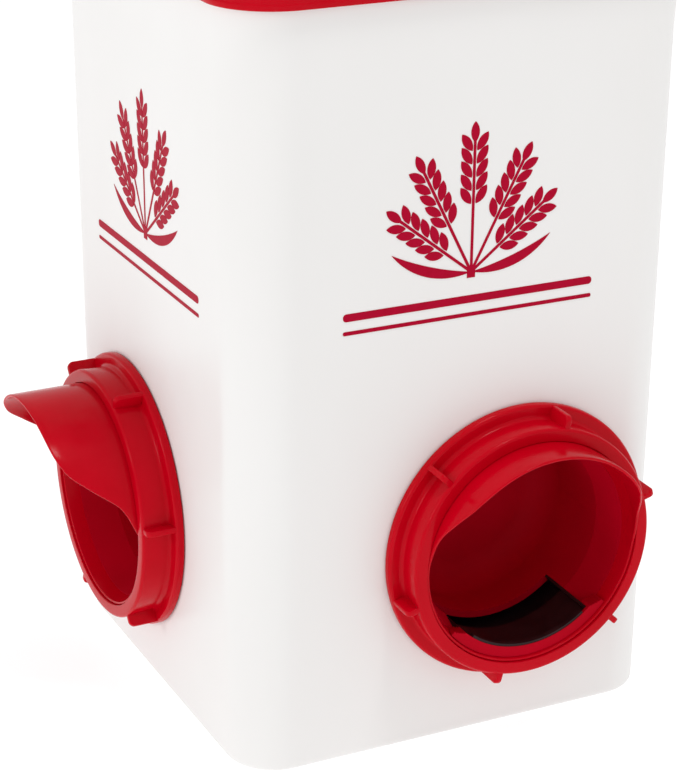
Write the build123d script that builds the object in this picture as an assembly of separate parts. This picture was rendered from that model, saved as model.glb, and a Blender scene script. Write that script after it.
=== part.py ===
from build123d import *
import math
import os

# Gravity feeder for poultry: a square canister with a snap lid and two screw-in feeding ports.
# All sizes are in millimetres. Origin: centre of the flat underside. +Z up.
# The front port is on the -Y wall, the side port on the -X wall.

# Canister
BASE_SIDE = 240.0            # outside width at the foot
CANISTER_HEIGHT = 408.0
WALL = 3.0
FLOOR = 3.5
DRAFT = 0.0063               # how far a wall leans out, per millimetre of height
CORNER_RADIUS = 26.6         # vertical corners, at the foot
FOOT_ROUND = 3.0
RIM_BEAD_OUT = 1.8           # the rolled rim that the lid snaps over
RIM_BEAD_HEIGHT = 8.0

# Lid
LID_SKIRT_BOTTOM = 394.0
LID_TOP = 414.0
LID_WALL = 2.2
LID_GAP = 0.4                # clearance between lid and canister
LID_PLUG_DEPTH = 8.0
LID_PANEL_SINK = 3.0
LID_BORDER = 18.0            # width of the raised border round the sunken panel
LID_ROUND = 2.5

# Ports, each in its own frame: local Z out of the wall, local Y up, local Z = 0 on the wall
PORT_HEIGHTS = {"front": 106.8, "side": 102.2}
PORT_OFFSET = 30.5           # sideways, away from the corner that the two ports share
BORE_RADIUS = 57.5           # inside of the port's tube
TUBE_RADIUS = 61.0           # outside of the port's tube
TUBE_RIM = 20.0              # how far the tube stands out of the wall
MOUTH_START = 12.0           # where the bore starts to flare towards the rim
MOUTH_RADIUS = 59.4
HOLE_RADIUS = 61.3           # hole in the canister wall
GASKET_THICK = 1.5
FLANGE_THICK = 3.5
FLANGE_RADIUS = 72.5
FLANGE_FLAT = 62.9           # the flange is cut flat beside the canister's corner
HOOD_RADIUS = 60.9           # outside of the hood, which passes through the ring
HOOD_START = 12.0
HOOD_REACH = {"front": 42.0, "side": 61.0}
HOOD_TURN = {"front": 4.0, "side": 0.0}      # degrees, clockwise from outside
# Height on the hood, and the share of its overhang that the edge has reached there
HOOD_EDGE = [(-8.0, -0.10), (4.0, 0.05), (16.0, 0.20), (28.0, 0.56), (38.0, 0.84), (48.0, 0.95), (61.5, 1.0)]

# Liner: the closed inner sleeve, with a window in its floor. Its mouth widens to the tube's bore.
LINER_RADIUS = 53.0
LINER_MOUTH_RADIUS = 57.2
LINER_TAPER_START = -6.0
LINER_WALL = 3.5
LINER_LIP = 12.0
WEIR_FRONT = 18.5
LINER_STRAIGHT = 44.0        # depth at which the back starts to round off
LINER_BACK_ROUND = 15.0
WINDOW_HALF_ANGLE = 42.0
WINDOW_BACK = {"front": -24.5, "side": -42.0}
WINDOW_FRONT = {"front": 16.6, "side": -20.0}
# The raised lip in front of the front port's window steps down at its ends: (radius, half angle)
WEIR_STEPS = [(53.2, 44.0), (54.0, 45.5), (54.8, 47.0), (55.6, 48.5), (56.4, 50.0)]

# Feed tray: a black scoop that hangs under the liner's window, open behind for the feed
TRAY_WALL = 1.5
TRAY_RADIUS = 66.0
TRAY_HALF_ANGLE = 41.9
TRAY_BACK = -48.0
TRAY_STEP = -9.0             # where the floor drops behind the port's inside flange
TRAY_EDGE_RADIUS = 51.8
TRAY_SIDE_ANGLE = 1.5
TRAY_LIP_FRONT = 18.2        # the front tray's edge folds over the lip in front of the window
TRAY_LIP_HALF_ANGLE = 38.0

# Locking ring
RING_CLEARANCE = 0.06        # running fit on the tube
RING_EDGE_RADIUS = 74.7
RING_COLLAR_RADIUS = 68.0
RING_RELIEF_RADIUS = 61.8
RING_RIM = 21.0
RING_FLANGE_THICK = 5.2
RING_UNDERSIDE = 0.4
RING_RECESS = 2.0            # the recess holds the slip washer
RING_RECESS_RADIUS = 72.4
FIN_COUNT = 6
FIN_THICK = 3.2
FIN_FOOT_RADIUS = 74.2
FIN_TOP_RADIUS = 73.0
FIN_START = {"front": 14.0, "side": -35.0}   # degrees from straight up
WASHER_INNER = 61.6
WASHER_OUTER = 72.0
WASHER_BOTTOM = 0.3
WASHER_TOP = 1.7

# Printed decoration: a sheaf of grain above two plain lines
PRINT_THICK = 0.2
SHEAF_FOOT = 256.0
SHEAF_LEANS = [-52.0, -27.0, 0.0, 27.0, 52.0]
STALK_LENGTHS = [50.0, 60.0, 66.0, 60.0, 50.0]
STALK_WIDTH = 1.5
KERNEL_LENGTH = 10.5
KERNEL_WIDTH = 4.6
KERNEL_PITCH = 6.6
KERNEL_PAIRS = 5
KERNEL_SPLAY = 34.0
KERNEL_STAND_OFF = 1.3
LEAF_LENGTH = 46.0
LEAF_WIDTH = 7.0
LEAF_LEANS = [-72.0, 72.0]
RULE_LENGTH = 138.0
RULE_HEIGHTS = [242.0, 234.0]
RULE_WIDTHS = [4.0, 2.0]


def wall_plane(face):
    """Port frame on the outside of a wall, at the port's centre."""
    height = PORT_HEIGHTS[face]
    out = BASE_SIDE / 2 + DRAFT * height
    if face == "front":
        return Plane((PORT_OFFSET, -out, height), x_dir=(1, 0, 0), z_dir=(0, -1, -DRAFT))
    return Plane((-out, PORT_OFFSET, height), x_dir=(0, -1, 0), z_dir=(-1, 0, -DRAFT))


def square_at(height, grow):
    """Horizontal section of the canister's outside, grown by an offset."""
    half = BASE_SIDE / 2 + DRAFT * height + grow
    radius = CORNER_RADIUS + DRAFT * height + grow
    return Plane.XY.offset(height) * RectangleRounded(2 * half, 2 * half, radius)


def tapered_block(bottom, top, grow):
    """Solid that follows the canister's tapered outside between two heights."""
    return loft([square_at(bottom, grow), square_at(top, grow)])


def straight_block(bottom, top, at_height, grow):
    """Solid with upright sides, sized from the canister's section at one height."""
    section = Plane.XY.offset(bottom - at_height) * square_at(at_height, grow)
    return extrude(section, amount=top - bottom)


def turned(points):
    """Solid of revolution about local Z from (radius, height) corners."""
    outline = Polyline(*[(radius, 0, height) for radius, height in points], close=True)
    return revolve(make_face(outline), Axis.Z, 360)


def turned_part(corners, half_angle):
    """Part of a solid of revolution, centred on the lowest point of the port."""
    outline = Polyline(*[(radius, 0, height) for radius, height in corners], close=True)
    piece = revolve(make_face(outline), Axis.Z, 2 * half_angle)
    return Rot(0, 0, -90 - half_angle) * piece


def sector(inner, outer, bottom, top, half_angle):
    """Part of a plain ring, centred on the lowest point of the port."""
    return turned_part([(inner, bottom), (outer, bottom), (outer, top), (inner, top)], half_angle)


def canister():
    body = tapered_block(0, CANISTER_HEIGHT, 0)
    body = fillet(body.edges().group_by(Axis.Z)[0], FOOT_ROUND)
    rim_bottom = CANISTER_HEIGHT - RIM_BEAD_HEIGHT
    body += straight_block(rim_bottom, CANISTER_HEIGHT, CANISTER_HEIGHT, RIM_BEAD_OUT)
    body -= tapered_block(FLOOR, CANISTER_HEIGHT + 1, -WALL)
    for face in ("front", "side"):
        hole = Cylinder(HOLE_RADIUS, 40)
        body -= wall_plane(face).location * hole
    return body


def lid():
    inside = RIM_BEAD_OUT + LID_GAP
    outside = inside + LID_WALL
    body = straight_block(LID_SKIRT_BOTTOM, LID_TOP, CANISTER_HEIGHT, outside)
    body = fillet(body.edges().group_by(Axis.Z)[-1], LID_ROUND)
    under = CANISTER_HEIGHT + LID_GAP
    body -= straight_block(LID_SKIRT_BOTTOM - 1, under, CANISTER_HEIGHT, inside)
    panel_floor = LID_TOP - LID_PANEL_SINK
    body -= straight_block(panel_floor, LID_TOP + 1, CANISTER_HEIGHT, outside - LID_BORDER)
    plug_bottom = CANISTER_HEIGHT - LID_PLUG_DEPTH
    plug = straight_block(plug_bottom, under, plug_bottom, -WALL - LID_GAP)
    plug -= straight_block(plug_bottom - 1, under, plug_bottom, -WALL - LID_GAP - LID_WALL)
    return body + plug


def hood(face):
    """Half-round rain hood, its free edge swept back down to the rim."""
    reach = HOOD_REACH[face]
    overhang = reach - TUBE_RIM
    curve = Spline(*[(0, height, TUBE_RIM + share * overhang) for height, share in HOOD_EDGE])
    foot, foot_share = HOOD_EDGE[0]
    crown = HOOD_EDGE[-1][0]
    back = Polyline(
        (0, crown, reach),
        (0, crown, HOOD_START),
        (0, foot, HOOD_START),
        (0, foot, TUBE_RIM + foot_share * overhang),
    )
    side_view = make_face(curve + back)
    keep = extrude(side_view, amount=TUBE_RADIUS + 1, both=True)
    shell = turned([
        (MOUTH_RADIUS, HOOD_START), (HOOD_RADIUS, HOOD_START), (HOOD_RADIUS, reach), (MOUTH_RADIUS, reach),
    ])
    return Rot(0, 0, -HOOD_TURN[face]) * (shell & keep)


def port_body(face, outboard):
    """Tube, rain hood and inside flange, in one moulding."""
    flange_front = -WALL - GASKET_THICK
    flange_back = flange_front - FLANGE_THICK
    tube = turned([
        (BORE_RADIUS, flange_back), (TUBE_RADIUS, flange_back), (TUBE_RADIUS, TUBE_RIM - 0.5),
        (TUBE_RADIUS - 0.5, TUBE_RIM), (MOUTH_RADIUS, TUBE_RIM), (BORE_RADIUS, MOUTH_START),
    ])
    flange = turned([
        (BORE_RADIUS, flange_back), (FLANGE_RADIUS, flange_back),
        (FLANGE_RADIUS, flange_front), (BORE_RADIUS, flange_front),
    ])
    return tube + beside_corner(flange, outboard) + hood(face)


def beside_corner(shape, outboard):
    """Cuts a round plate flat on the side that faces the canister's corner."""
    width = 2 * FLANGE_RADIUS
    keep = Pos(outboard * (FLANGE_FLAT - width / 2), 0, 0) * Box(width, 2 * width, 40)
    return shape & keep


def wall_gasket(outboard):
    ring = turned([
        (TUBE_RADIUS + 0.4, -WALL - GASKET_THICK), (FLANGE_RADIUS - 1, -WALL - GASKET_THICK),
        (FLANGE_RADIUS - 1, -WALL), (TUBE_RADIUS + 0.4, -WALL),
    ])
    return beside_corner(ring, outboard)


def liner(face):
    """Closed sleeve inside the port's tube, its floor open over the feed tray."""
    outer = LINER_RADIUS + LINER_WALL
    centre_radius = LINER_RADIUS - LINER_BACK_ROUND
    depth = LINER_STRAIGHT
    inner_back = -depth - LINER_BACK_ROUND
    outer_back = inner_back - LINER_WALL
    diagonal = math.sqrt(0.5)
    outer_round = LINER_BACK_ROUND + LINER_WALL
    outline = [
        Polyline(
            (LINER_RADIUS, 0, -depth), (LINER_RADIUS, 0, LINER_TAPER_START),
            (LINER_MOUTH_RADIUS, 0, LINER_LIP),
            (BORE_RADIUS, 0, LINER_LIP), (BORE_RADIUS, 0, 6), (outer, 0, 5), (outer, 0, -depth),
        ),
        ThreePointArc(
            (outer, 0, -depth),
            (centre_radius + outer_round * diagonal, 0, -depth - outer_round * diagonal),
            (centre_radius, 0, outer_back),
        ),
        Polyline((centre_radius, 0, outer_back), (0, 0, outer_back), (0, 0, inner_back),
                 (centre_radius, 0, inner_back)),
        ThreePointArc(
            (centre_radius, 0, inner_back),
            (centre_radius + LINER_BACK_ROUND * diagonal, 0, -depth - LINER_BACK_ROUND * diagonal),
            (LINER_RADIUS, 0, -depth),
        ),
    ]
    sleeve = revolve(make_face(outline), Axis.Z, 360)
    back, front = WINDOW_BACK[face], WINDOW_FRONT[face]
    if front > 0:
        for radius, half_angle in WEIR_STEPS:
            sleeve += turned_part([
                (radius, LINER_LIP - 1), (BORE_RADIUS, LINER_LIP - 1), (BORE_RADIUS, MOUTH_START),
                (BORE_RADIUS + 1.4, WEIR_FRONT), (radius, WEIR_FRONT),
            ], half_angle)
    return sleeve - sector(LINER_RADIUS - 8, BORE_RADIUS + 2, back, front, WINDOW_HALF_ANGLE)


def feed_tray(face):
    """Scoop under the window: deep floor, two cheeks, and a front wall whose edge shows in the port."""
    front = WINDOW_FRONT[face]
    deep_front = min(front, TRAY_STEP)
    outer = TRAY_RADIUS + TRAY_WALL
    tray = sector(TRAY_RADIUS, outer, TRAY_BACK, deep_front, TRAY_HALF_ANGLE)
    cheek = sector(LINER_RADIUS + LINER_WALL, outer, TRAY_BACK, deep_front, TRAY_SIDE_ANGLE / 2)
    for side in (-1, 1):
        tray += Rot(0, 0, side * (TRAY_HALF_ANGLE - TRAY_SIDE_ANGLE / 2)) * cheek
    if front > TRAY_STEP:
        tray += sector(BORE_RADIUS - TRAY_WALL, outer, TRAY_STEP - TRAY_WALL, TRAY_STEP, TRAY_HALF_ANGLE)
        tray += sector(BORE_RADIUS - TRAY_WALL, BORE_RADIUS, TRAY_STEP - TRAY_WALL, front, TRAY_HALF_ANGLE)
        tray += sector(TRAY_EDGE_RADIUS, BORE_RADIUS, front - TRAY_WALL, front - 0.05, TRAY_LIP_HALF_ANGLE)
        lip_under = WEIR_STEPS[0][0] - 0.05
        tray += sector(TRAY_EDGE_RADIUS, lip_under, front - TRAY_WALL, TRAY_LIP_FRONT, TRAY_LIP_HALF_ANGLE)
        back = WINDOW_BACK[face] + 0.1
        low_cheek = sector(LINER_RADIUS + 0.4, BORE_RADIUS, back, front - 0.05, TRAY_SIDE_ANGLE / 2)
        for side in (-1, 1):
            tray += Rot(0, 0, side * (TRAY_HALF_ANGLE - TRAY_SIDE_ANGLE / 2)) * low_cheek
    else:
        tray += sector(TRAY_EDGE_RADIUS, outer, front - TRAY_WALL, front, TRAY_HALF_ANGLE)
    return tray


def locking_ring(fin_start):
    bore = TUBE_RADIUS + RING_CLEARANCE
    body = turned([
        (bore, RING_RECESS), (RING_RECESS_RADIUS, RING_RECESS), (RING_RECESS_RADIUS, RING_UNDERSIDE),
        (RING_EDGE_RADIUS, RING_UNDERSIDE), (RING_EDGE_RADIUS, RING_FLANGE_THICK - 1.5),
        (RING_EDGE_RADIUS - 1.5, RING_FLANGE_THICK), (RING_COLLAR_RADIUS + 1, RING_FLANGE_THICK),
        (RING_COLLAR_RADIUS - 0.6, RING_FLANGE_THICK + 1.6), (RING_COLLAR_RADIUS, RING_RIM - 2),
        (RING_COLLAR_RADIUS - 2, RING_RIM), (RING_RELIEF_RADIUS + 1.4, RING_RIM),
        (RING_RELIEF_RADIUS, RING_RIM - 1.4), (RING_RELIEF_RADIUS, TUBE_RIM - 4), (bore, TUBE_RIM - 4),
    ])
    side_view = make_face(Polyline(
        (RING_COLLAR_RADIUS - 2, 0, RING_FLANGE_THICK - 1), (FIN_FOOT_RADIUS, 0, RING_FLANGE_THICK - 1),
        (FIN_TOP_RADIUS, 0, RING_RIM - 3), (FIN_TOP_RADIUS - 2, 0, RING_RIM - 0.5),
        (RING_COLLAR_RADIUS - 2, 0, RING_RIM - 0.5), close=True,
    ))
    fin = extrude(side_view, amount=FIN_THICK / 2, both=True)
    for index in range(FIN_COUNT):
        from_top = fin_start + index * 360 / FIN_COUNT
        body += Rot(0, 0, 90 - from_top) * fin
    return body


def slip_washer():
    return turned([
        (WASHER_INNER, WASHER_BOTTOM), (WASHER_OUTER, WASHER_BOTTOM),
        (WASHER_OUTER, WASHER_TOP), (WASHER_INNER, WASHER_TOP),
    ])


def kernel():
    """Pointed grain, its tip up, its foot at the origin."""
    half = KERNEL_WIDTH / 2
    left = ThreePointArc((0, 0), (-half, KERNEL_LENGTH * 0.45), (0, KERNEL_LENGTH))
    right = ThreePointArc((0, KERNEL_LENGTH), (half, KERNEL_LENGTH * 0.45), (0, 0))
    return make_face([left, right])


def leaf():
    """Long pointed leaf, its foot at the origin."""
    upper = ThreePointArc((0, 0), (-LEAF_WIDTH, LEAF_LENGTH * 0.5), (0, LEAF_LENGTH))
    lower = ThreePointArc((0, LEAF_LENGTH), (-LEAF_WIDTH * 0.25, LEAF_LENGTH * 0.5), (0, 0))
    return make_face([upper, lower])


def ear(stalk):
    """Flat outline of one stalk with its grain."""
    shape = Pos(0, stalk / 2) * Rectangle(STALK_WIDTH, stalk)
    shape += Pos(0, stalk - 1) * kernel()
    for pair in range(KERNEL_PAIRS):
        foot = stalk - 5 - pair * KERNEL_PITCH
        for side in (-1, 1):
            shape += Pos(side * KERNEL_STAND_OFF, foot) * Rot(0, 0, -side * KERNEL_SPLAY) * kernel()
    return shape


def print_plane(face):
    """Frame on a wall's outside at the sheaf's foot: local X along the wall, local Y up."""
    out = BASE_SIDE / 2 + DRAFT * SHEAF_FOOT
    if face == "front":
        return Plane((0, -out, SHEAF_FOOT), x_dir=(1, 0, 0), z_dir=(0, -1, -DRAFT))
    return Plane((-out, 0, SHEAF_FOOT), x_dir=(0, -1, 0), z_dir=(-1, 0, -DRAFT))


def grain_print():
    shape = Rectangle(STALK_WIDTH * 3, 6)
    for lean, stalk in zip(SHEAF_LEANS, STALK_LENGTHS):
        shape += Rot(0, 0, -lean) * ear(stalk)
    for lean in LEAF_LEANS:
        side = math.copysign(1, lean)
        shape += Rot(0, 0, -lean) * (leaf() if side < 0 else mirror(leaf(), Plane.YZ))
    for height, width in zip(RULE_HEIGHTS, RULE_WIDTHS):
        shape += Pos(0, height - SHEAF_FOOT) * RectangleRounded(RULE_LENGTH, width, width * 0.45)
    return extrude(shape, amount=PRINT_THICK)


def build():
    nodes = {"canister": canister(), "lid": lid()}
    for face, outboard in (("front", 1), ("side", -1)):
        place = wall_plane(face).location
        nodes[face + "_port_body"] = place * port_body(face, outboard)
        nodes[face + "_wall_gasket"] = place * wall_gasket(outboard)
        nodes[face + "_liner"] = place * liner(face)
        nodes[face + "_feed_tray"] = place * feed_tray(face)
        nodes[face + "_locking_ring"] = place * locking_ring(FIN_START[face])
        nodes[face + "_slip_washer"] = place * slip_washer()
        nodes[face + "_grain_print"] = print_plane(face).location * grain_print()
    return nodes


os.makedirs("parts", exist_ok=True)
for name, shape in build().items():
    export_step(shape, f"parts/{name}.step")
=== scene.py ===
import math

import bmesh
import bpy
from mathutils import Matrix, Vector


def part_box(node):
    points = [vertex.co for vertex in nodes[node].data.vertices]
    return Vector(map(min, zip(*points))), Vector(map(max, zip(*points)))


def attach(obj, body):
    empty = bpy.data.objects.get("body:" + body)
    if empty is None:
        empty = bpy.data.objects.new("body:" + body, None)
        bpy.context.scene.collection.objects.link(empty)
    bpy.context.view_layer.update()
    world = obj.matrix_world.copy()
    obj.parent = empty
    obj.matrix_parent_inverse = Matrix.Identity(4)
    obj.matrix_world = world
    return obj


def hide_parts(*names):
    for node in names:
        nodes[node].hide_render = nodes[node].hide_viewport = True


# A square gravity feeder with two hooded ports. Everything is in metres, in the row's frame.
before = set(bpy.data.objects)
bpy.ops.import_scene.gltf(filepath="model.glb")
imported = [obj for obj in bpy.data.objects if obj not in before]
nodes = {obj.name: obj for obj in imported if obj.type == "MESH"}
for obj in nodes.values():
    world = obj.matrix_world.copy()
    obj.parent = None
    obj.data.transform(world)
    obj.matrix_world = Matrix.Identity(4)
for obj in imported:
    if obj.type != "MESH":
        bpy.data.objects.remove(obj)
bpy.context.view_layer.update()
MM = 0.001

# Canister and lid, as in the part
BASE_HALF = 120 * MM
DRAFT = 0.0063
CORNER = 26.6 * MM
CORNER_STEPS = 16
SUPPORT = 2 * MM             # extra vertices beside each corner keep the flats flat-shaded
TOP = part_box("canister")[1].z
FLOOR = 3.5 * MM
WALL = 3.0 * MM
FOOT_ROUND = 3.0 * MM
INNER_FOOT_ROUND = 6.0 * MM
RIM_OUT = 1.8 * MM           # the rolled rim that the lid snaps over
RIM_HEIGHT = 7.0 * MM
RIM_ROUND = 1.0 * MM
LID_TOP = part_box("lid")[1].z
SKIRT_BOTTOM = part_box("lid")[0].z
LID_WALL = 2.2 * MM
LID_GAP = 0.4 * MM           # clearance between lid and canister
LID_ROUND = 3.0 * MM
LID_BORDER = 18 * MM         # width of the raised border round the sunken panel
LID_SINK = 3 * MM
PLUG_DEPTH = 8 * MM

# Ports, in a frame of their own: local Z out of the wall, local Y up
PORT_HEIGHTS = {"front": 106.8 * MM, "side": 102.2 * MM}
PORT_OFFSET = 30.5 * MM      # sideways, away from the corner that the two ports share
HOLE = 61.3 * MM             # the wall's hole for the tube
BORE = 57.5 * MM
TUBE = 61.0 * MM
HOOD = 60.9 * MM
TUBE_RIM = 20.0 * MM
MOUTH_START = 12.0 * MM      # where the bore starts to flare towards the rim
MOUTH = 59.4 * MM
FLANGE = 72.5 * MM           # the flange inside the wall
FLANGE_BACK = -8.0 * MM
FLANGE_FRONT = -4.5 * MM
FLANGE_FLAT = 62.9 * MM      # where it is cut flat beside the canister's corner
HOOD_REACH = {"front": 42 * MM, "side": 61 * MM}
HOOD_TURN = {"front": math.radians(4), "side": 0.0}
CORNER_SIDE = {"front": 1, "side": -1}       # which way the far corner lies, along local X
# How much of its reach the hood has at a height above the axis, in millimetres
HOOD_EDGE = ((-8.0, -0.10), (4.0, 0.05), (16.0, 0.20), (28.0, 0.56), (38.0, 0.84), (48.0, 0.95), (61.5, 1.0))
AROUND = 240                 # steps round a turned piece

# Locking rings, in the port's frame
RING_BORE = 61.06 * MM
RING_RELIEF = 61.12 * MM     # a slightly wider bore towards the rim
RING_RELIEF_START = 16 * MM
RING_COLLAR = 68.0 * MM
RING_EDGE = 74.7 * MM
RING_RIM = 21.0 * MM
RING_FLANGE_THICK = 5.2 * MM
RING_UNDERSIDE = 0.4 * MM
RING_RECESS = 2.0 * MM       # the recess holds the slip washer
RING_RECESS_RADIUS = 72.4 * MM
FIN_COUNT = 6
FIN_START = {"front": 14, "side": -35}       # degrees from straight up
FIN_HALF = 1.6 * MM
FIN_ROOT = 66.4 * MM
FIN_TIP = 74.3 * MM
FIN_FOOT = 4.4 * MM
FIN_RIM = 20.4 * MM
FIN_CORNER = 3.2 * MM
FIN_BEVEL = 0.7 * MM

# Studio
LIGHT_AIM = (0, 0, 0.15)
CAMERA_AT = (-0.5333, -1.0716, 0.6278)
CAMERA_YAW = math.radians(64.03)
CAMERA_PITCH = math.radians(-21.72)
CAMERA_ROLL = 0.008
CAMERA_LENS = 109.55


# ---------------------------------------------------------------- materials
def new_material(name, colour, roughness, **sockets):
    """Principled material, its even values set on the shader's own sockets."""
    material = bpy.data.materials.new(name)
    material.use_nodes = True
    shader = material.node_tree.nodes["Principled BSDF"]
    shader.inputs["Base Color"].default_value = (*colour, 1)
    shader.inputs["Roughness"].default_value = roughness
    for socket, value in sockets.items():
        shader.inputs[socket.replace("_", " ")].default_value = value
    return material, material.node_tree, shader


def noise(tree, scale, detail=4.0, roughness=0.5, stretch=(1, 1, 1)):
    """Noise in the object's own coordinates."""
    place = tree.nodes.new("ShaderNodeTexCoord")
    mapping = tree.nodes.new("ShaderNodeMapping")
    mapping.inputs["Scale"].default_value = stretch
    texture = tree.nodes.new("ShaderNodeTexNoise")
    texture.inputs["Scale"].default_value = scale
    texture.inputs["Detail"].default_value = detail
    texture.inputs["Roughness"].default_value = roughness
    tree.links.new(place.outputs["Object"], mapping.inputs["Vector"])
    tree.links.new(mapping.outputs["Vector"], texture.inputs["Vector"])
    return texture.outputs["Fac"]


def ramp(tree, value, low, high, start=0.3, end=0.7):
    """Maps a value to between two colours."""
    node = tree.nodes.new("ShaderNodeValToRGB")
    node.color_ramp.elements[0].position = start
    node.color_ramp.elements[1].position = end
    node.color_ramp.elements[0].color = (*low, 1)
    node.color_ramp.elements[1].color = (*high, 1)
    tree.links.new(value, node.inputs["Fac"])
    return node.outputs["Color"]


def grey(value):
    """Colour with three equal parts."""
    return (value, value, value)


def bump(tree, shader, layers):
    """Chains bump nodes from (height, strength, distance) layers."""
    normal = None
    for height, strength, distance in layers:
        node = tree.nodes.new("ShaderNodeBump")
        node.inputs["Strength"].default_value = strength
        node.inputs["Distance"].default_value = distance
        tree.links.new(height, node.inputs["Height"])
        if normal is not None:
            tree.links.new(normal, node.inputs["Normal"])
        normal = node.outputs["Normal"]
    tree.links.new(normal, shader.inputs["Normal"])


def canister_plastic():
    """Blow-moulded white polyethylene: waxy, faintly mottled, with a soft orange-peel skin."""
    material, tree, shader = new_material(
        "white_canister_plastic", (0.90, 0.893, 0.882), 0.3,
        IOR=1.45, Specular_IOR_Level=0.25,
    )
    mottle = noise(tree, 9, 3, 0.5, (1, 1, 0.45))
    colour = ramp(tree, mottle, (0.865, 0.853, 0.840), (0.885, 0.875, 0.864))
    tree.links.new(colour, shader.inputs["Base Color"])
    scuff = noise(tree, 40, 3, 0.5)
    tree.links.new(ramp(tree, scuff, grey(0.30), grey(0.38)), shader.inputs["Roughness"])
    bump(tree, shader, [(noise(tree, 300, 2, 0.4), 0.03, 0.0002)])
    return material


def red_plastic():
    """Injection-moulded red polypropylene: glossy, with faint flow marks and a fine skin."""
    material, tree, shader = new_material(
        "red_moulded_plastic", (0.60, 0.0, 0.010), 0.2,
        IOR=1.45, Specular_IOR_Level=0.10,
    )
    flow = noise(tree, 22, 5, 0.6, (1, 1, 0.6))
    tree.links.new(ramp(tree, flow, (0.50, 0.0, 0.007), (0.58, 0.0, 0.011)), shader.inputs["Base Color"])
    skin = noise(tree, 120, 6, 0.6)
    tree.links.new(ramp(tree, skin, grey(0.16), grey(0.24)), shader.inputs["Roughness"])
    bump(tree, shader, [
        (noise(tree, 30, 2, 0.4), 0.03, 0.001),
        (noise(tree, 600, 2, 0.5), 0.04, 0.0001),
    ])
    return material


def liner_plastic():
    """The same red, but satin and darker, the darkness being painted shade inside the sleeves."""
    # The darker reds here are painted shade for the inside of the sleeves.
    material, tree, shader = new_material(
        "red_liner_painted_shade", (0.36, 0.0, 0.010), 0.6, Specular_IOR_Level=0.04)
    flow = noise(tree, 22, 4, 0.5)
    tree.links.new(ramp(tree, flow, (0.44, 0.0, 0.010), (0.52, 0.0, 0.014)), shader.inputs["Base Color"])
    tree.links.new(ramp(tree, flow, grey(0.54), grey(0.66)), shader.inputs["Roughness"])
    bump(tree, shader, [(noise(tree, 500, 2), 0.05, 0.0001)])
    return material


def print_ink():
    """Screen-printed red ink: slightly uneven cover over the plastic."""
    material, tree, shader = new_material("red_print_ink", (0.42, 0.0, 0.024), 0.45, Specular_IOR_Level=0.06)
    cover = noise(tree, 180, 6, 0.7)
    tree.links.new(ramp(tree, cover, (0.39, 0.0, 0.020), (0.45, 0.0, 0.028)), shader.inputs["Base Color"])
    bump(tree, shader, [(cover, 0.15, 0.0002)])
    return material


def rubber():
    """Black moulded rubber: matt, with a dusty bloom."""
    material, tree, shader = new_material("black_rubber", (0.03, 0.03, 0.032), 0.55, Specular_IOR_Level=0.35)
    bloom = noise(tree, 160, 6, 0.65)
    tree.links.new(ramp(tree, bloom, grey(0.022), grey(0.055)), shader.inputs["Base Color"])
    tree.links.new(ramp(tree, bloom, grey(0.45), grey(0.68)), shader.inputs["Roughness"])
    bump(tree, shader, [(noise(tree, 700, 3), 0.2, 0.0002)])
    return material


def tray_plastic():
    """Black satin plastic, dulled a little by feed dust; its dark reddish tone is also painted shade for the
    canister's inside behind the window.
    """
    # The near-black, reddish colours are partly the tray's own black and partly painted shade from inside the
    # canister.
    material, tree, shader = new_material(
        "black_tray_and_painted_shade", (0.020, 0.008, 0.009), 0.42, Specular_IOR_Level=0.16)
    dust = noise(tree, 90, 6, 0.65)
    colour = ramp(tree, dust, (0.014, 0.005, 0.006), (0.030, 0.012, 0.013))
    tree.links.new(colour, shader.inputs["Base Color"])
    tree.links.new(ramp(tree, dust, grey(0.34), grey(0.52)), shader.inputs["Roughness"])
    bump(tree, shader, [(noise(tree, 500, 3), 0.12, 0.0002)])
    return material


WHITE, RED, SHADED_LINER = canister_plastic(), red_plastic(), liner_plastic()
INK, RUBBER, BLACK_AND_SHADE = print_ink(), rubber(), tray_plastic()


# ---------------------------------------------------------------- mesh helpers
def finish_piece(name, mesh, material, slot, body, *replaced, smooth=32):
    """Turns a bmesh into a piece that rides on a body and stands for CAD nodes."""
    bmesh.ops.remove_doubles(mesh, verts=mesh.verts, dist=1e-6)
    bmesh.ops.recalc_face_normals(mesh, faces=mesh.faces)
    data = bpy.data.meshes.new(name)
    mesh.to_mesh(data)
    mesh.free()
    for polygon in data.polygons:
        polygon.use_smooth = True
    data.set_sharp_from_angle(angle=math.radians(smooth))
    data.materials.append(material)
    piece = bpy.data.objects.new(name, data)
    bpy.context.scene.collection.objects.link(piece)
    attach(piece, body)
    if replaced:
        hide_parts(*replaced)
    return piece


def bridge(mesh, rings, closed=False):
    """Quads between successive rings of vertices; closed joins the last ring to the first."""
    count = len(rings[0])
    pairs = list(zip(rings, rings[1:]))
    if closed:
        pairs.append((rings[-1], rings[0]))
    for ring, following in pairs:
        for i in range(count):
            j = (i + 1) % count
            mesh.faces.new((ring[i], ring[j], following[j], following[i]))


def corner_vertex(mesh, centre, radius, quarters, z, along=0):
    """Vertex on a rounded corner, at an angle in quarter turns, or further along the flat beside it."""
    angle = math.radians(90) * quarters
    return mesh.verts.new((
        centre[0] + radius * math.cos(angle) - along * math.sin(angle),
        centre[1] + radius * math.sin(angle) + along * math.cos(angle), z))


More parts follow.
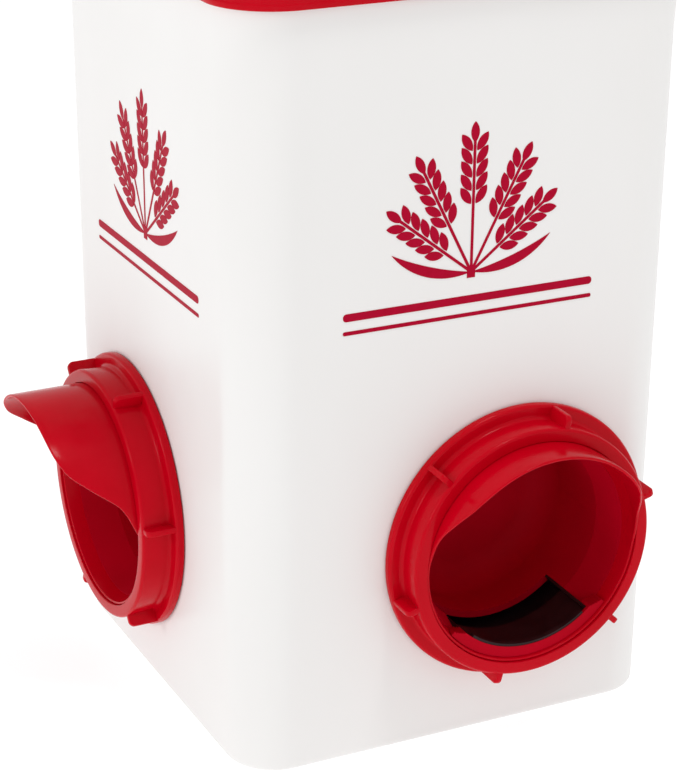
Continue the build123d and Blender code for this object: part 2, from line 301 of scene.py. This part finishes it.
def square_ring(mesh, z, grow):
    """Horizontal rounded-square ring on the canister's taper, grown by an offset."""
    radius = CORNER + DRAFT * z + grow
    inset = BASE_HALF + DRAFT * z + grow - radius
    ring = []
    for quarter, (sx, sy) in enumerate(((1, 1), (-1, 1), (-1, -1), (1, -1))):
        centre = (sx * inset, sy * inset)
        turns = [quarter + step / CORNER_STEPS for step in range(CORNER_STEPS + 1)]
        corner = [corner_vertex(mesh, centre, radius, turn, z) for turn in turns]
        before = corner_vertex(mesh, centre, radius, quarter, z, -SUPPORT)
        after = corner_vertex(mesh, centre, radius, quarter + 1, z, SUPPORT)
        ring += [before, *corner, after]
    return ring


def swap(points):
    """Turns an arc's (grow, z) points into the (z, grow) points of a square's profile."""
    return [(z, grow) for grow, z in points]


def square_solid(profile):
    """Closed solid swept round the square from (z, grow) points, both ends capped."""
    mesh = bmesh.new()
    rings = [square_ring(mesh, z, grow) for z, grow in profile]
    bridge(mesh, rings)
    mesh.faces.new(rings[0])
    mesh.faces.new(rings[-1])
    return mesh


def arc(centre, radius, start, end, steps=6):
    """Points of an arc in a profile, angles in degrees."""
    angles = [math.radians(start + (end - start) * i / steps) for i in range(steps + 1)]
    return [(centre[0] + radius * math.cos(a), centre[1] + radius * math.sin(a)) for a in angles]


def turned_loop(mesh, section):
    """Closed ring solid: section(angle) gives the loop of (radius, height) at that angle from straight up."""
    rings = []
    for step in range(AROUND):
        angle = 2 * math.pi * step / AROUND
        rings.append([
            mesh.verts.new((radius * math.sin(angle), radius * math.cos(angle), height))
            for radius, height in section(angle)
        ])
    bridge(mesh, rings, closed=True)


def port_matrix(face):
    """Places a port's own frame on the outside of its wall."""
    height = PORT_HEIGHTS[face]
    out = BASE_HALF + DRAFT * height
    if face == "front":
        z_axis, x_axis, at = Vector((0, -1, -DRAFT)), Vector((1, 0, 0)), (PORT_OFFSET, -out, height)
    else:
        z_axis, x_axis, at = Vector((-1, 0, -DRAFT)), Vector((0, -1, 0)), (-out, PORT_OFFSET, height)
    z_axis.normalize()
    y_axis = z_axis.cross(x_axis)
    turn = Matrix((x_axis, y_axis, z_axis)).transposed().to_4x4()
    return Matrix.Translation(at) @ turn


# ---------------------------------------------------------------- canister and lid
def build_canister():
    """Tapered shell with rounded feet, a slight flare under its rolled rim, and the ports' two holes."""
    outside = swap(arc((-FOOT_ROUND, FOOT_ROUND), FOOT_ROUND, -90, 0)) + [(FOOT_ROUND + 1 * MM, 0)]
    flare = [(TOP - 45 * MM, 0), (TOP - 44 * MM, 0), (TOP - 30 * MM, 0.5 * MM), (TOP - 16 * MM, 1.2 * MM)]
    rim_low = TOP - RIM_HEIGHT
    rim = [(rim_low - 1 * MM, 1.3 * MM), (rim_low, RIM_OUT)]
    rim += swap(arc((RIM_OUT - RIM_ROUND, TOP - RIM_ROUND), RIM_ROUND, 0, 90, 4))
    rim += swap(arc((-WALL + RIM_ROUND, TOP - RIM_ROUND), RIM_ROUND, 90, 180, 4))
    inner_foot = (-WALL - INNER_FOOT_ROUND, FLOOR + INNER_FOOT_ROUND)
    inside = swap(arc(inner_foot, INNER_FOOT_ROUND, 0, -90))
    mesh = square_solid(outside + flare + rim + inside)
    piece = finish_piece("canister_shell", mesh, WHITE, "white_plastic", "canister_body", "canister")
    for face in PORT_HEIGHTS:
        cutter = bpy.data.meshes.new("cutter")
        drill = bmesh.new()
        bmesh.ops.create_cone(
            drill, cap_ends=True, segments=AROUND, radius1=HOLE, radius2=HOLE, depth=40 * MM)
        drill.transform(port_matrix(face))
        drill.to_mesh(cutter)
        drill.free()
        tool = bpy.data.objects.new("cutter", cutter)
        bpy.context.scene.collection.objects.link(tool)
        cut = piece.modifiers.new("hole", "BOOLEAN")
        cut.operation = "DIFFERENCE"
        cut.solver = "EXACT"
        cut.object = tool
        apply_modifiers(piece)
        bpy.data.objects.remove(tool)
    piece.data.set_sharp_from_angle(angle=math.radians(32))


def apply_modifiers(piece):
    """Bakes the piece's modifiers into its mesh."""
    bpy.context.view_layer.update()
    graph = bpy.context.evaluated_depsgraph_get()
    data = bpy.data.meshes.new_from_object(piece.evaluated_get(graph))
    piece.modifiers.clear()
    piece.data = data


def build_lid():
    """Skirt, rolled top edge, sunken panel and the plug rim underneath."""
    clear = RIM_OUT + LID_GAP
    outside = clear + LID_WALL
    under = TOP + LID_GAP
    plug = -WALL - LID_GAP
    plug_foot = TOP - PLUG_DEPTH
    chamfer = 0.8 * MM
    profile = [(under, plug - LID_WALL), (plug_foot + chamfer, plug - LID_WALL)]
    profile += [(plug_foot, plug - LID_WALL + chamfer), (plug_foot, plug - chamfer)]
    profile += [(plug_foot + chamfer, plug), (under, plug), (under, clear)]
    # the skirt's bottom edge, with a small bead outside
    profile += [(SKIRT_BOTTOM + chamfer, clear), (SKIRT_BOTTOM, clear + 0.6 * MM)]
    profile += [(SKIRT_BOTTOM, outside - 0.2 * MM), (SKIRT_BOTTOM + chamfer, outside + 0.3 * MM)]
    profile += [(SKIRT_BOTTOM + 2.6 * MM, outside + 0.3 * MM), (SKIRT_BOTTOM + 3.4 * MM, outside - 0.2 * MM)]
    profile += swap(arc((outside - LID_ROUND - 0.2 * MM, LID_TOP - LID_ROUND), LID_ROUND, 0, 90))
    inner = outside - LID_BORDER
    panel = LID_TOP - LID_SINK
    profile += [(LID_TOP, inner + 1 * MM), (LID_TOP - 0.4 * MM, inner + 0.2 * MM)]
    profile += [(panel + chamfer, inner - 0.6 * MM), (panel, inner - 1.6 * MM)]
    finish_piece("lid_shell", square_solid(profile), RED, "red_plastic", "lid_body", "lid")


# ---------------------------------------------------------------- ports
def smooth_through(points, value):
    """Monotone cubic curve through (x, y) points, flat outside them."""
    if value <= points[0][0]:
        return points[0][1]
    if value >= points[-1][0]:
        return points[-1][1]
    slopes = [(b[1] - a[1]) / (b[0] - a[0]) for a, b in zip(points, points[1:])]
    tangents = [slopes[0]] + [2 * a * b / (a + b) for a, b in zip(slopes, slopes[1:])] + [slopes[-1]]
    for i, (a, b) in enumerate(zip(points, points[1:])):
        if value <= b[0]:
            span = b[0] - a[0]
            t = (value - a[0]) / span
            return (
                a[1] * (1 + 2 * t) * (1 - t) ** 2 + span * tangents[i] * t * (1 - t) ** 2
                + b[1] * t * t * (3 - 2 * t) - span * tangents[i + 1] * t * t * (1 - t)
            )
    return points[-1][1]


def edge_height(angle, reach, turn):
    """How far the tube and hood stand out of the wall at an angle from straight up."""
    share = smooth_through(HOOD_EDGE, HOOD * math.cos(angle - turn) / MM)
    overhang = (reach - TUBE_RIM) * share
    softness = 1.2 * MM
    return TUBE_RIM + 0.5 * (overhang + math.hypot(overhang, softness)) - 0.2 * softness


def tube_section(angle, reach, turn):
    """Wall of tube and hood at one angle: flared inside, rounded lip, outside."""
    lip = edge_height(angle, reach, turn)
    beyond = min(max((lip - TUBE_RIM) / (6 * MM), 0), 1)
    outer = TUBE + (HOOD - TUBE) * beyond
    half = (outer - MOUTH) / 2
    nose_low = lip - half
    inside = [(BORE, FLANGE_BACK), (BORE, -2 * MM), (BORE, 6 * MM), (BORE, MOUTH_START - 1 * MM)]
    inside += [(BORE + 0.2 * MM, MOUTH_START + 1 * MM), (MOUTH, TUBE_RIM - half)]
    inside += [(MOUTH, TUBE_RIM - half + (nose_low - TUBE_RIM + half) * step / 10) for step in range(1, 10)]
    nose = arc((MOUTH + half, nose_low), half, 180, 0, 8)
    outside = []
    for step in range(14, -1, -1):
        height = FLANGE_BACK + (nose_low - FLANGE_BACK) * step / 14
        share = min(max((height - TUBE_RIM + 1 * MM) / (2 * MM), 0), 1)
        outside.append((TUBE + (outer - TUBE) * share, height))
    return inside + nose + outside[1:]


def flange_section(angle, corner_side):
    """Inside flange, cut flat beside the canister's corner."""
    outer = FLANGE
    sideways = corner_side * math.sin(angle)
    if sideways * outer > FLANGE_FLAT:
        outer = FLANGE_FLAT / sideways
    front, back = FLANGE_FRONT, FLANGE_BACK
    return [(TUBE - 1 * MM, back), (outer - 0.6 * MM, back), (outer, back + 0.6 * MM),
            (outer, front - 0.4 * MM), (outer - 0.4 * MM, front), (TUBE - 1 * MM, front)]


def build_port_body(face):
    """Tube and rain hood in one sleeve, with the flange behind the wall."""
    mesh = bmesh.new()
    turned_loop(mesh, lambda angle: tube_section(angle, HOOD_REACH[face], HOOD_TURN[face]))
    turned_loop(mesh, lambda angle: flange_section(angle, CORNER_SIDE[face]))
    mesh.transform(port_matrix(face))
    name = face + "_port_body"
    finish_piece(face + "_hooded_port", mesh, RED, "red_plastic", "canister_body", name, smooth=50)


def ring_profile():
    """Locking ring's section: recessed flange, filleted collar and a rounded rim."""
    edge_round, fillet, outer_round, inner_round = 1.8 * MM, 2.4 * MM, 1.8 * MM, 0.4 * MM
    loop = [(RING_BORE, RING_RECESS), (RING_RECESS_RADIUS, RING_RECESS), (RING_RECESS_RADIUS, RING_UNDERSIDE)]
    loop += [(RING_EDGE - 0.6 * MM, RING_UNDERSIDE), (RING_EDGE, RING_UNDERSIDE + 0.6 * MM)]
    loop += arc((RING_EDGE - edge_round, RING_FLANGE_THICK - edge_round), edge_round, 0, 90)
    loop += arc((RING_COLLAR - 0.8 * MM + fillet, RING_FLANGE_THICK + fillet), fillet, 270, 180)
    loop += arc((RING_COLLAR - outer_round, RING_RIM - outer_round), outer_round, 0, 90)
    loop += arc((RING_RELIEF + inner_round, RING_RIM - inner_round), inner_round, 90, 180)
    loop += [(RING_RELIEF, RING_RELIEF_START), (RING_BORE, RING_RELIEF_START)]
    return loop


def add_fin(mesh, angle):
    """Grip fin: a thin plate between flange and rim, its outer corner broadly rounded."""
    outline = [(FIN_ROOT, FIN_FOOT), (FIN_TIP, FIN_FOOT)]
    outline += arc((FIN_TIP - FIN_CORNER, FIN_RIM - FIN_CORNER), FIN_CORNER, 0, 90, 8)
    outline += [(FIN_ROOT, FIN_RIM)]
    fin = bmesh.new()
    sides = [
        [fin.verts.new((across, out, height)) for out, height in outline] for across in (-FIN_HALF, FIN_HALF)]
    bridge(fin, sides)
    caps = [fin.faces.new(side) for side in sides]
    rounded = [
        edge for cap in caps for edge in cap.edges
        if min(v.co.z for v in edge.verts) > FIN_FOOT + MM or min(v.co.y for v in edge.verts) > FIN_TIP - MM
    ]
    bmesh.ops.recalc_face_normals(fin, faces=fin.faces)
    bmesh.ops.bevel(fin, geom=rounded, offset=FIN_BEVEL, segments=3, profile=0.5, affect="EDGES")
    fin.transform(Matrix.Rotation(-angle, 4, "Z"))
    copied = bpy.data.meshes.new("fin")
    fin.to_mesh(copied)
    fin.free()
    mesh.from_mesh(copied)
    bpy.data.meshes.remove(copied)


def build_ring(face):
    """Screw ring with its fins, riding on its own body."""
    mesh = bmesh.new()
    profile = ring_profile()
    turned_loop(mesh, lambda angle: profile)
    for index in range(FIN_COUNT):
        add_fin(mesh, math.radians(FIN_START[face] + 360 / FIN_COUNT * index))
    mesh.transform(port_matrix(face))
    name = face + "_locking_ring"
    finish_piece(face + "_screw_ring", mesh, RED, "red_plastic", face + "_ring_body", name, smooth=40)


def paint_node(name, material):
    """Gives a CAD node its material."""
    data = nodes[name].data
    data.materials.clear()
    data.materials.append(material)


build_canister()
build_lid()
for face in PORT_HEIGHTS:
    build_port_body(face)
    build_ring(face)
    paint_node(face + "_liner", SHADED_LINER)
    paint_node(face + "_grain_print", INK)
    paint_node(face + "_feed_tray", BLACK_AND_SHADE)
    for rubber_piece in ("_wall_gasket", "_slip_washer"):
        paint_node(face + rubber_piece, RUBBER)


# ---------------------------------------------------------------- studio
def build_floor():
    """Pale floor with a glow of its own, so that it reads as white under the soft world."""
    material, tree, shader = new_material(
        "studio_floor", (0.5, 0.5, 0.5), 0.8, Specular_IOR_Level=0.0,
        Emission_Color=(1, 1, 1, 1), Emission_Strength=0.70,
    )
    mottle = noise(tree, 4, 3)
    tree.links.new(ramp(tree, mottle, grey(0.49), grey(0.51)), shader.inputs["Base Color"])
    mesh = bmesh.new()
    bmesh.ops.create_grid(mesh, x_segments=8, y_segments=8, size=6)
    data = bpy.data.meshes.new("studio_floor")
    mesh.to_mesh(data)
    mesh.free()
    data.materials.append(material)
    floor = bpy.data.objects.new("studio_floor", data)
    floor.location.z = -0.3 * MM
    bpy.context.scene.collection.objects.link(floor)


def add_light(name, at, size, power):
    """Round area light aimed at the lower half of the feeder."""
    data = bpy.data.lights.new(name, "AREA")
    data.shape = "DISK"
    data.size = size
    data.energy = power
    light = bpy.data.objects.new(name, data)
    light.location = at
    light.rotation_euler = (Vector(LIGHT_AIM) - Vector(at)).to_track_quat("-Z", "Y").to_euler()
    bpy.context.scene.collection.objects.link(light)


def build_world():
    """Even white surroundings."""
    world = bpy.data.worlds.new("studio")
    world.use_nodes = True
    background = world.node_tree.nodes["Background"]
    background.inputs["Color"].default_value = (1, 1, 1, 1)
    background.inputs["Strength"].default_value = 0.69
    bpy.context.scene.world = world


def build_camera():
    """Long lens from beyond the corner between the two ports, above the canister's top."""
    level = Vector((math.cos(CAMERA_YAW), math.sin(CAMERA_YAW), 0))
    ahead = math.cos(CAMERA_PITCH) * level + math.sin(CAMERA_PITCH) * Vector((0, 0, 1))
    right = Vector((level.y, -level.x, 0))
    up = right.cross(ahead)
    rolled_right = math.cos(CAMERA_ROLL) * right + math.sin(CAMERA_ROLL) * up
    rolled_up = math.cos(CAMERA_ROLL) * up - math.sin(CAMERA_ROLL) * right
    data = bpy.data.cameras.new("camera")
    data.sensor_width = 36
    data.lens = CAMERA_LENS
    camera = bpy.data.objects.new("camera", data)
    turn = Matrix((rolled_right, rolled_up, -ahead)).transposed().to_4x4()
    camera.matrix_world = Matrix.Translation(CAMERA_AT) @ turn
    bpy.context.scene.collection.objects.link(camera)
    bpy.context.scene.camera = camera


build_floor()
build_world()
build_camera()
add_light("key", (-2.0, -0.15, 0.9), size=0.45, power=6)
add_light("top", (0.1, -0.55, 1.9), size=0.35, power=7)
bpy.context.scene.view_settings.view_transform = "Standard"
